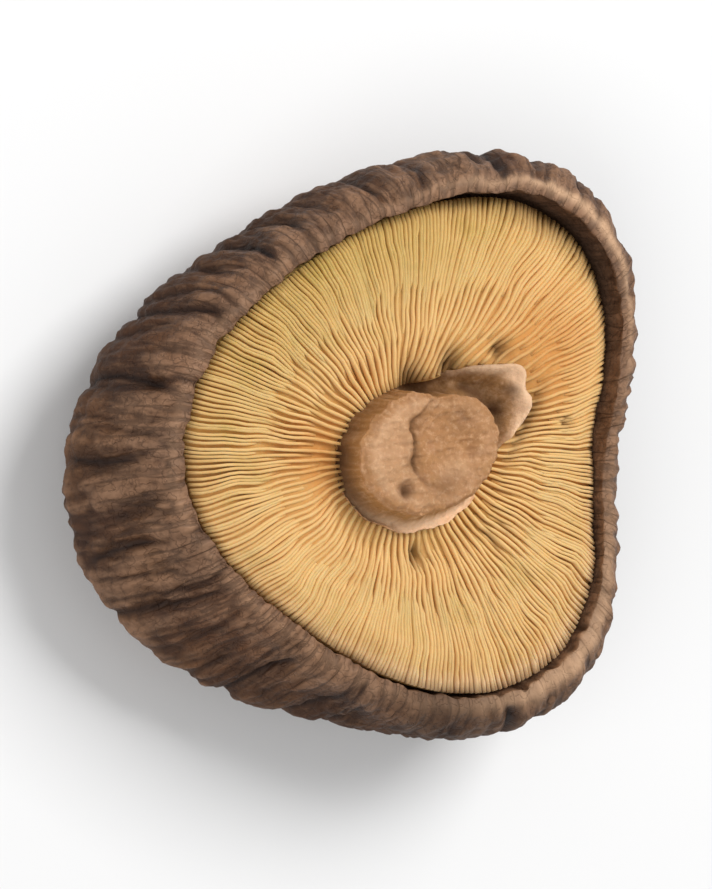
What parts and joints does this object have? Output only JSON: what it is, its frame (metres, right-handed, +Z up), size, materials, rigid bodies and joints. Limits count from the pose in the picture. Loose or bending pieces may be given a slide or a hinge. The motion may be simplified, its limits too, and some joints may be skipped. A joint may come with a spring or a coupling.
{
  "type": "dried shiitake mushroom",
  "caption": "Dried shiitake mushroom lying on its cap: creased brown dome, rolled rim, gold gills and a short cut stem",
  "frame": {"origin": "On the surface that the mushroom lies on, under the middle of its bounding box", "axes": "+Z up out of the gills, +X along its longest side, towards the straight side of the rim"},
  "size_m": [0.0448, 0.0428, 0.0166],
  "materials": {
    "cap_skin": "dry wrinkled brown skin, dull, paler along the ridges and the rim",
    "gill_flesh": "dry gold blades, dull, paler along their edges",
    "stem_flesh": "dry fibrous tan flesh with a rough cut end"
  },
  "bodies": {
    "root": {"cap": "cap_skin", "gills": "gill_flesh", "stem": "stem_flesh"}
  },
  "joints": []
}
